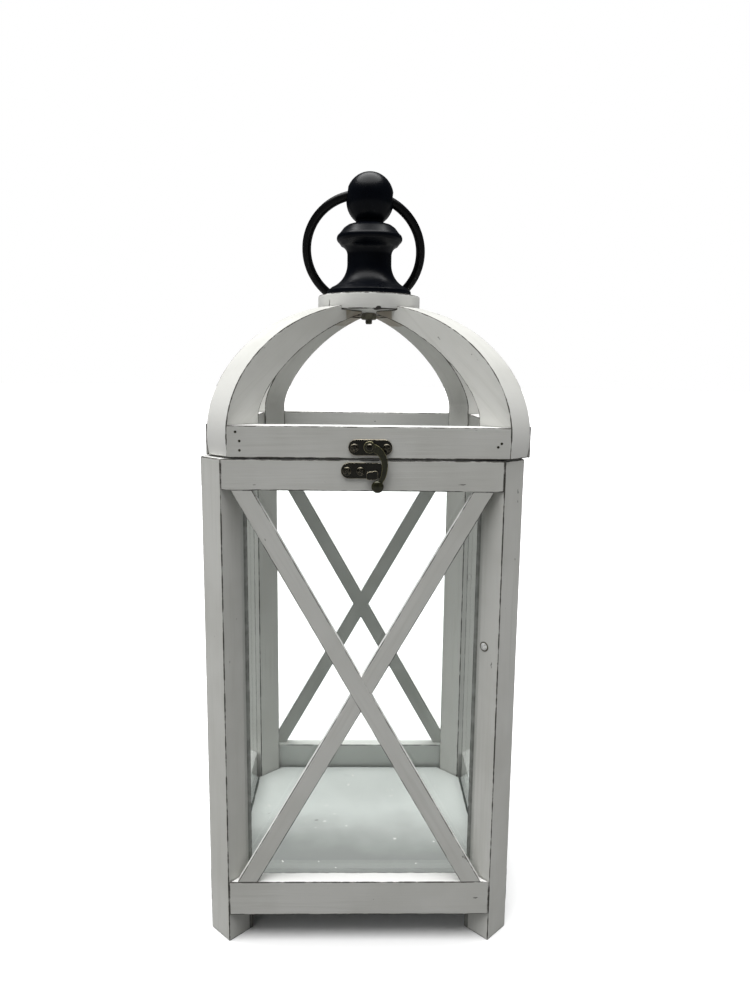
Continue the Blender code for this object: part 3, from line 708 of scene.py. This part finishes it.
def make_body_wood(material, lit_material, board_material):
    for corner in ("front_right", "back_right", "back_left", "front_left"):
        make_post(f"post_{corner}", material)
    for side in ("front", "right", "back", "left"):
        for rail in ("bottom_rail", "top_rail", "lid_rail"):
            node = f"{rail}_{side}"
            joints = brace_tops(side) if node in ("top_rail_front", "top_rail_back") else ()
            # The back rails take a lighter copy of the paint, as painted light
            finish = lit_material if node in ("lid_rail_back", "bottom_rail_back") else material
            wooden(node, hull_shape(node), finish, unworn=joints)
    wooden("base_board", hull_shape("base_board"), board_material, axis=Vector((1, 0, 0)), waves=0)


def make_post(node, material):
    """A corner post. The front ones have painted shade on their sides, where the glass meets them."""
    shape = hull_shape(node)
    middle = points_of(node).mean(0)
    inward = -Vector((math.copysign(1, middle[0]), math.copysign(1, middle[1]), 0)).normalized()
    if "front" not in node:
        wooden(node, shape, material)
        return
    reach = max(vertex.co.dot(inward) for vertex in shape.verts)
    for depth in (GAP_SHADE_WIDTH, 1.1 * GAP_SHADE_WIDTH):
        geom = [*shape.verts, *shape.edges, *shape.faces]
        bmesh.ops.bisect_plane(shape, geom=geom, plane_co=inward * (reach - depth), plane_no=inward)
    obj = wooden(node, shape, material)
    depths = reach - coordinates(obj.data) @ np.array(inward)
    # Painted shade beside the glass: full at its width from the post's inner corner, paler at the corner
    # itself
    gap_shade = np.interp(depths / GAP_SHADE_WIDTH, (0.0, 0.1, 1.0, 1.1), (0.4, 0.7, 1.0, 0.0))
    store(obj.data, "gap_shade", gap_shade)


def brace_tops(side):
    """Where the crossed bars meet the top rail. The paint runs over the joints there."""
    joints = []
    for lean in ("rising", "falling"):
        points = points_of(f"brace_{side}_{lean}")
        end = points[points[:, 2] > points[:, 2].max() - MM].mean(0)
        joints.append((end, *RAIL_JOINT_UNWORN))
    return joints


def make_braces(material):
    """The crossed bars, level with the rails. The rising one stands back a little from the falling one."""
    for side in ("front", "back"):
        low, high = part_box(f"top_rail_{side}")
        face, inward = (low.y, 1) if side == "front" else (high.y, -1)
        for lean in ("rising", "falling"):
            node = f"brace_{side}_{lean}"
            shape = hull_shape(node)
            step = BRACE_STEP_BACK if lean == "falling" else 3 * BRACE_STEP_BACK
            for vertex in shape.verts:
                if abs(vertex.co.y - face) < 2 * MM:
                    vertex.co.y = face + inward * step
            joints = [(points_of(node).mean(0), *CROSSING_UNWORN)]
            wooden(node, shape, material, ease=BRACE_EASED_EDGE, square_ends=True, unworn=joints)


def make_ribs(material):
    for corner in ("back_right", "back_left", "front_left", "front_right"):
        wooden(f"rib_{corner}", cad_shape(f"rib_{corner}"), material, ease=RIB_EASED_EDGE, waves=0)


def lid_axis():
    low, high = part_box("top_disc")
    return Vector(((low.x + high.x) / 2, (low.y + high.y) / 2, 0))


def rim_place(radius, turn, z):
    """A point on the disc's rim, with turn degrees from the front towards the right."""
    angle = math.radians(turn)
    return LID_AXIS + Vector((radius * math.sin(angle), -radius * math.cos(angle), z))


def make_disc(material):
    """The turned top disc, with a crack in its rim and a chip out of its lower edge."""
    low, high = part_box("top_disc")
    radius = (high.x - low.x) / 2
    tall = high.z - low.z
    ease = 1.1 * MM
    top = arc((radius - ease, tall - ease), ease, 90, 0, 5)
    bottom = arc((radius - ease, ease), ease, 0, -90, 5)
    halfway = BOLT_HOLE + (radius - BOLT_HOLE) * 0.6
    profile = [(BOLT_HOLE, tall), (halfway, tall), *top, *bottom, (halfway, 0), (BOLT_HOLE, 0)]
    place = Matrix.Translation(LID_AXIS + UP * low.z)
    shape = turned_shape(profile, matrix=place, loop=True)
    obj = add_object("top_disc_wood", mesh_of("top_disc_wood", shape), material)

    crack = rim_place(radius, CRACK_TURN, low.z + CRACK_HEIGHT)
    turn = Matrix.Rotation(math.radians(CRACK_TURN), 4, "Z")
    lean = Matrix.Rotation(math.radians(CRACK_LEAN), 4, "Y")
    cut(obj, box_shape(CRACK_SIZE, Matrix.Translation(crack) @ turn @ lean))
    chips = [(rim_place(radius, degrees, low.z), size) for degrees, size in CHIP_TURNS_AND_SIZES]
    for centre, size in chips:
        chip = bmesh.new()
        bmesh.ops.create_icosphere(chip, subdivisions=2, radius=size, matrix=Matrix.Translation(centre))
        for vertex in chip.verts:
            vertex.co += (vertex.co - centre) * 0.35 * noise.noise(vertex.co * 900)
        cut(obj, chip)

    places = coordinates(obj.data)
    away = np.hypot(places[:, 0] - LID_AXIS.x, places[:, 1] - LID_AXIS.y) - radius
    rim = np.minimum(np.abs(places[:, 2] - low.z), np.abs(places[:, 2] - high.z))
    wear = np.clip(1 - np.hypot(away, rim) / ease, 0, 1)
    # The crack's deep faces take the dark edge colour: bare wood, with painted shade in the crack
    beside = np.linalg.norm((places - np.array(crack)) * (1, 1, 0.25), axis=1) < 2.2 * MM
    wear[beside & (away < -0.6 * MM)] = 1
    for centre, size in chips:
        wear[(np.linalg.norm(places - np.array(centre), axis=1) < 1.25 * size) & (away < -0.2 * MM)] = 1
    store(obj.data, "wear", wear)
    store(obj.data, "grain", grain_places("top_disc", places, Vector((1, 0, 0))), "FLOAT_VECTOR")
    obj.data.set_sharp_from_angle(angle=math.radians(40))
    stand_for(obj, "top_disc")


# Finial, ring, bolt and nut


def finial_profile(base, top):
    """From the top of the ball down to the foot, and up inside to the end of the bolt's hole."""
    ball = 19.6 * MM
    belt = 3.8 * MM
    neck = 11.5 * MM
    neck_turn = -math.degrees(math.acos(neck / ball))
    hole_end = base + 38 * MM

    def at(radius, height):
        return (radius * MM, base + height * MM)

    profile = [(0, top)] + arc((0, top - ball), ball, 90, 0, 28)[1:]
    profile += arc((0, top - ball - belt), ball, 0, neck_turn, 18)
    # The hollow under the ball, and the slope from it to the collar
    profile += arc(at(14.2, 60.7), 2.7 * MM, 180, 262, 6)
    profile += [at(16.2, 57.9), at(18.4, 57.2), at(21.6, 54.9)]
    # The collar, and the hollow below it
    profile += arc(at(23.4, 46.7), 4.0 * MM, 62, -58, 16)
    profile += arc(at(26.4, 33.4), 7.9 * MM, 110, 180, 14)
    # The flared foot, and its rim
    profile += arc(at(39.4, 26.4), 20.9 * MM, 180, 248, 24)
    profile += arc(at(34.4, 3.6), 0.8 * MM, 80, 0, 5)
    profile += arc(at(34.6, 0.6), 0.6 * MM, 0, -90, 4)
    profile += [(BOLT_HOLE, base), (BOLT_HOLE, hole_end), (0, hole_end)]
    return profile


def ring_measures():
    """The ring's centre, the direction through it, its radius and its rod's radius."""
    points = points_of("carrying_ring")
    centre = points.mean(0)
    _, _, axes = np.linalg.svd(points - centre, full_matrices=False)
    away = np.linalg.norm(points - centre, axis=1)
    radius = (away.max() + away.min()) / 2
    return Vector(centre), Vector(axes[2]), radius, (away.max() - away.min()) / 2


def ring_joint():
    return next(joint for joint in frame["joints"] if joint["name"] == "ring_swing")


def make_finial(material):
    low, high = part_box("finial")
    shape = turned_shape(finial_profile(low.z, high.z), matrix=Matrix.Translation(LID_AXIS))
    obj = add_object("finial_turned", mesh_of("finial_turned", shape), material)
    joint = ring_joint()
    turn = UP.rotation_difference(Vector(joint["axis"])).to_matrix().to_4x4()
    reach = 30 * MM
    profile = [(0, reach), (RING_HOLE, reach), (RING_HOLE, -reach), (0, -reach)]
    cut(obj, turned_shape(profile, 48, Matrix.Translation(joint["pos_m"]) @ turn))
    obj.data.set_sharp_from_angle(angle=math.radians(40))
    stand_for(obj, "finial")


def make_ring(material):
    centre, direction, radius, rod = ring_measures()
    section = arc((radius, 0), rod, 0, 345, 23)
    turn = UP.rotation_difference(direction).to_matrix().to_4x4()
    shape = turned_shape(section, 160, Matrix.Translation(centre) @ turn, loop=True)
    stand_for(add_object("carrying_ring_rod", mesh_of("carrying_ring_rod", shape), material), "carrying_ring")


def make_bolt(material):
    """A threaded bolt. Each row of points turns with the thread as it climbs."""
    low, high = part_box("finial_bolt")
    major = (high.x - low.x) / 2
    sides = 32
    rows_to_a_turn = 8
    rows = int((high.z - low.z) / (THREAD_PITCH / rows_to_a_turn))
    taper_length = 0.8 * THREAD_PITCH
    shape = bmesh.new()
    previous = None
    for row in range(rows + 1):
        z = low.z + (high.z - low.z) * row / rows
        taper = min(1.0, (z - low.z) / taper_length)
        ring = []
        for i in range(sides):
            turn = 2 * math.pi * i / sides
            share = ((z - low.z) / THREAD_PITCH - i / sides) % 1
            radius = major - THREAD_DEPTH * abs(2 * share - 1) - (1 - taper) * THREAD_DEPTH
            ring.append(shape.verts.new((radius * math.cos(turn), radius * math.sin(turn), z)))
        if previous:
            for i in range(sides):
                j = (i + 1) % sides
                shape.faces.new((previous[i], previous[j], ring[j], ring[i]))
        else:
            shape.faces.new(ring[::-1])
        previous = ring
    shape.faces.new(previous)
    bmesh.ops.recalc_face_normals(shape, faces=shape.faces)
    shape.transform(Matrix.Translation(LID_AXIS))
    obj = add_object("finial_bolt_thread", mesh_of("finial_bolt_thread", shape), material)
    obj.data.set_sharp_from_angle(angle=math.radians(50))
    stand_for(obj, "finial_bolt")


def make_nut(material):
    """A six-sided nut with its corners turned off above and below."""
    low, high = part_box("finial_nut")
    flat = (high.y - low.y) / 2
    bore = 3.15 * MM
    ease = 0.4 * MM
    shoulder = flat * 0.985
    slope = 0.58
    sides = 96
    shape = bmesh.new()
    columns = []
    for i in range(sides):
        turn = 2 * math.pi * i / sides
        off_flat = (math.degrees(turn) + 30) % 60 - 30
        radius = flat / math.cos(math.radians(30 - abs(off_flat)))
        drop = max(0, radius - shoulder) * slope
        rows = [(bore + ease, low.z), (shoulder, low.z), (radius, low.z + drop)]
        rows += [(radius, high.z - drop), (shoulder, high.z), (bore + ease, high.z)]
        rows += [(bore, high.z - ease), (bore, low.z + ease)]
        columns.append([shape.verts.new((r * math.cos(turn), r * math.sin(turn), z)) for r, z in rows])
    for i in range(sides):
        here, there = columns[i], columns[(i + 1) % sides]
        for k in range(len(here)):
            m = (k + 1) % len(here)
            shape.faces.new((here[k], here[m], there[m], there[k]))
    bmesh.ops.recalc_face_normals(shape, faces=shape.faces)
    shape.transform(Matrix.Translation(LID_AXIS))
    obj = add_object("finial_nut_hex", mesh_of("finial_nut_hex", shape), material)
    obj.data.set_sharp_from_angle(angle=math.radians(22))
    stand_for(obj, "finial_nut")


# Hardware


def cast(node, material, voxel=0.22 * MM, rounds=4):
    """A metal piece with edges as soft as cast or tumbled hardware."""
    shape = bmesh.new()
    shape.from_mesh(frame["nodes"][node].data)
    bmesh.ops.remove_doubles(shape, verts=shape.verts, dist=0.005 * MM)
    obj = add_object(node + "_metal", mesh_of(node + "_metal", shape), material)
    with_modifier(obj, "REMESH", mode="VOXEL", voxel_size=voxel, use_smooth_shade=True)
    with_modifier(obj, "SMOOTH", factor=0.5, iterations=rounds)
    settle(obj)
    return stand_for(obj, node)


def screw_measures(node, outward):
    """A CAD screw's place, its head's radius, and its ends along the place's Z axis, which points outward."""
    outward = Vector(outward).normalized()
    points = points_of(node)
    height = points @ np.array(outward)
    flat = points - np.outer(height, outward)
    centre = Vector((flat.max(0) + flat.min(0)) / 2)
    radius = np.linalg.norm(flat - np.array(centre), axis=1).max()
    turn = UP.rotation_difference(outward).to_matrix().to_4x4()
    return Matrix.Translation(centre) @ turn, radius, height.min(), height.max()


def screw(node, outward, material):
    """A round-headed screw with a cross cut in its head, where the CAD screw is."""
    place, radius, low, top = screw_measures(node, outward)
    shank = 1.2 * MM
    under = top - radius * HEAD_HEIGHT
    dome = [(r, top + (z - radius) * HEAD_HEIGHT) for r, z in arc((0, 0), radius, 90, 8, 10)]
    dome[0] = (0, dome[0][1])
    skirt = [(radius, under), (shank, under), (shank, low), (0, low)]
    mesh = mesh_of(node + "_metal", turned_shape(dome + skirt, 40, place))
    obj = add_object(node + "_metal", mesh, material)
    spin = Matrix.Rotation(random.Random(node).uniform(0, math.pi), 4, "Z")
    recess = place @ Matrix.Translation((0, 0, top)) @ spin
    slot_size = (radius * 1.15, radius * 0.24, radius * 0.44)
    for quarter in (0, 1):
        cut(obj, box_shape(slot_size, recess @ Matrix.Rotation(quarter * math.pi / 2, 4, "Z")))
    obj.data.set_sharp_from_angle(angle=math.radians(35))
    return stand_for(obj, node)


def make_hardware(bronze, hook_brass, steel, dark_steel):
    for node in ("keeper_plate", "hook_plate", "hook_rivet"):
        cast(node, bronze)
    cast("latch_hook", hook_brass)
    for hinge in ("hinge_left", "hinge_right"):
        for piece in ("body_leaf", "lid_leaf", "pin"):
            cast(f"{hinge}_{piece}", bronze)
    for side in ("left", "right"):
        screw(f"keeper_screw_{side}", (0, -1, 0), bronze)
        screw(f"hook_plate_screw_{side}", (0, -1, 0), bronze)
        for leaf in ("hinge_left_body", "hinge_left_lid", "hinge_right_body", "hinge_right_lid"):
            screw(f"{leaf}_screw_{side}", (0, 1, 0), bronze)
    for corner in ("front_right", "back_right", "back_left", "front_left"):
        node = f"glass_screw_{corner}"
        screw(node, screw_direction(node), steel)
        make_screw_seat(node, dark_steel)


def make_screw_seat(node, material):
    """The dark rim around a glass screw's head."""
    place, radius, _, top = screw_measures(node, screw_direction(node))
    base = top - radius * HEAD_HEIGHT
    inner, outer = radius * 0.8, radius * 1.28
    rim = 0.3 * MM
    profile = [(inner, base + rim), (outer - rim, base + rim), (outer, base), (inner, base)]
    shape = turned_shape(profile, 32, place, loop=True)
    obj = add_object(node + "_seat", mesh_of(node + "_seat", shape), material)
    store_proud(obj.data)
    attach(obj, frame["nodes"][node]["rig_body"])


def screw_direction(node):
    """The way a screw's head points, which is towards the end where its points lie thickest."""
    points = points_of(node)
    axis = np.array(main_axis(points))
    height = points @ axis
    middle = (height.max() + height.min()) / 2
    return axis if np.median(height) > middle else -axis


def nail_heads(name, rail, places, outward, material):
    """Small sunk nail heads in a rail's face. Places are (x, z) shares of the rail's length and height."""
    low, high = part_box(rail)
    face = low.y if outward < 0 else high.y
    shapes = []
    for across, up in places:
        where = Vector((low.x + (high.x - low.x) * across, face, low.z + (high.z - low.z) * up))
        turn = Matrix.Rotation(math.pi / 2 * (1 if outward < 0 else -1), 4, "X")
        rim = arc((NAIL_RADIUS - NAIL_EASE, NAIL_PROUD - NAIL_EASE), NAIL_EASE, 90, 20, 3)
        profile = [(0, NAIL_PROUD), *rim, (NAIL_RADIUS, -NAIL_DEPTH), (0, -NAIL_DEPTH)]
        shapes.append(turned_shape(profile, 14, Matrix.Translation(where) @ turn))
    obj = add_object(name, mesh_of(name, joined(shapes)), material)
    store_proud(obj.data)
    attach(obj, frame["nodes"][rail]["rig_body"])


def make_nails(material):
    ends = [(0.033, 0.80), (0.047, 0.52), (0.047, 0.23), (0.965, 0.51), (0.953, 0.40)]
    nail_heads("lid_nails_front", "lid_rail_front", ends, -1, material)
    nail_heads("lid_nails_back", "lid_rail_back", [(1 - x, z) for x, z in ends], 1, material)


# Floor, lights and camera


def make_floor():
    """A pale studio floor, far larger than the lantern. It sends back less light than the camera sees."""
    material, tree, shader, place = new_material("studio_floor")
    tone = stretch(tree, cloud(tree, place, "floor"), 0.2, 0.8)
    seen = blend(tree, tone, *FLOOR_SEEN)
    sent = blend(tree, tone, *FLOOR_SENT)
    rays = add(tree, "LightPath").outputs["Is Camera Ray"]
    dress(tree, shader, Base_Color=blend(tree, rays, sent, seen), Roughness=0.9, Specular_IOR_Level=0.0)
    bpy.ops.mesh.primitive_circle_add(vertices=96, radius=30, fill_type="NGON")
    floor = bpy.context.object
    floor.name = "studio_floor"
    floor.data.materials.append(material)


def make_light(name, strength, width, source, in_gloss=True):
    """A soft light from far away. Its width is the angle that it fills, in degrees."""
    light = bpy.data.lights.new(name, "SUN")
    light.energy = strength
    light.angle = math.radians(width)
    obj = bpy.data.objects.new(name, light)
    obj.location = source
    obj.rotation_euler = Vector(source).to_track_quat("Z", "Y").to_euler()
    obj.visible_glossy = in_gloss
    bpy.context.scene.collection.objects.link(obj)


def make_world():
    """A white surround for the camera, which lights the lantern only dimly."""
    world = bpy.data.worlds.new("studio")
    world.use_nodes = True
    tree = world.node_tree
    tree.nodes.clear()
    rays = add(tree, "LightPath")
    white = add(tree, "Background", {"Color": (1, 1, 1, 1), "Strength": 1.0}).outputs[0]
    dim = add(tree, "Background", {"Color": SURROUND_TINT, "Strength": DIM_SURROUND}).outputs[0]
    seen = add(tree, "MixShader", {0: rays.outputs["Is Camera Ray"], 1: dim, 2: white}).outputs[0]
    output = add(tree, "OutputWorld")
    tree.links.new(seen, output.inputs["Surface"])
    bpy.context.scene.world = world
    bpy.context.scene.view_settings.view_transform = "Standard"


def make_camera():
    camera = bpy.data.cameras.new("camera")
    camera.lens = CAMERA_LENS_MM
    camera.clip_start = 0.02
    obj = bpy.data.objects.new("camera", camera)
    yaw = Matrix.Rotation(math.radians(-CAMERA_YAW), 4, "Z")
    pitch = Matrix.Rotation(math.radians(90 - CAMERA_PITCH), 4, "X")
    roll = Matrix.Rotation(math.radians(CAMERA_ROLL), 4, "Z")
    obj.matrix_world = Matrix.Translation(CAMERA_PLACE) @ yaw @ pitch @ roll
    bpy.context.scene.collection.objects.link(obj)
    bpy.context.scene.camera = obj


LID_AXIS = lid_axis()
make_camera()
make_world()
make_light("overhead", **OVERHEAD)
make_light("left_side", **LEFT_SIDE)
make_light("right_side", **RIGHT_SIDE)
make_floor()

# The frame's paint, with a painted highlight on faces that look up
paint = painted_wood("white_paint", top_highlight=0.9)
pale_paint = painted_wood("white_paint_pale", tone=PALE_PAINT, shade=PALE_SHADE)
# A lighter copy of the paint, as painted light on the back rails
back_rail_lit_paint = painted_wood("white_paint_lit", tone=BACK_RAIL_LIT_PAINT, shade=BACK_RAIL_LIT_SHADE)
disc_low, disc_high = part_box("top_disc")
# The ribs' paint: a brown stain and painted shade under the disc, and a painted highlight on their outward
# faces
rib_paint = painted_wood("white_paint_ribs", stain_and_shade_within=(disc_high.x - disc_low.x) / 2 - RIB_STAIN_AND_SHADE_INSET)
board_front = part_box("base_board")[0].y
# The board's paint, with painted shade towards its front
board_paint = painted_wood(
    "white_paint_board",
    tone=BOARD_PAINT,
    shade=BOARD_SHADE,
    sheen=0.22,
    streaky=0.5,
    specks=TOP_HIGHLIGHT_AND_SPECKS,
    front_shade=(board_front + FRONT_SHADE_NEAR, board_front + FRONT_SHADE_FAR),
)
bronze = aged_metal("bronze", **BRONZE, rough=(0.22, 0.42))
hook_brass = aged_metal("hook_brass", **HOOK_BRASS, rough=(0.26, 0.45), metallic=0.7)
# A painted glint: the glass screws' steel is near white and mostly matte
steel = aged_metal("steel", **STEEL, rough=(0.35, 0.50), metallic=0.15)
dark_steel = aged_metal("dark_steel", **DARK_STEEL, rough=(0.32, 0.55))

make_body_wood(paint, back_rail_lit_paint, board_paint)
make_braces(paint)
make_ribs(rib_paint)
make_disc(pale_paint)
make_finial(black_lacquer())
make_ring(black_metal())
make_bolt(dark_steel)
make_nut(dark_steel)
make_hardware(bronze, hook_brass, steel, dark_steel)
make_nails(dark_steel)
for facing, outward in {"front_back": (0, 1, 0), "sides": (1, 0, 0)}.items():
    glass = pane_glass("glass_" + facing, outward)
    for side in ("front", "back") if facing == "front_back" else ("left", "right"):
        pane = frame["nodes"][f"glass_{side}"]
        pane.data.materials.clear()
        pane.data.materials.append(glass)
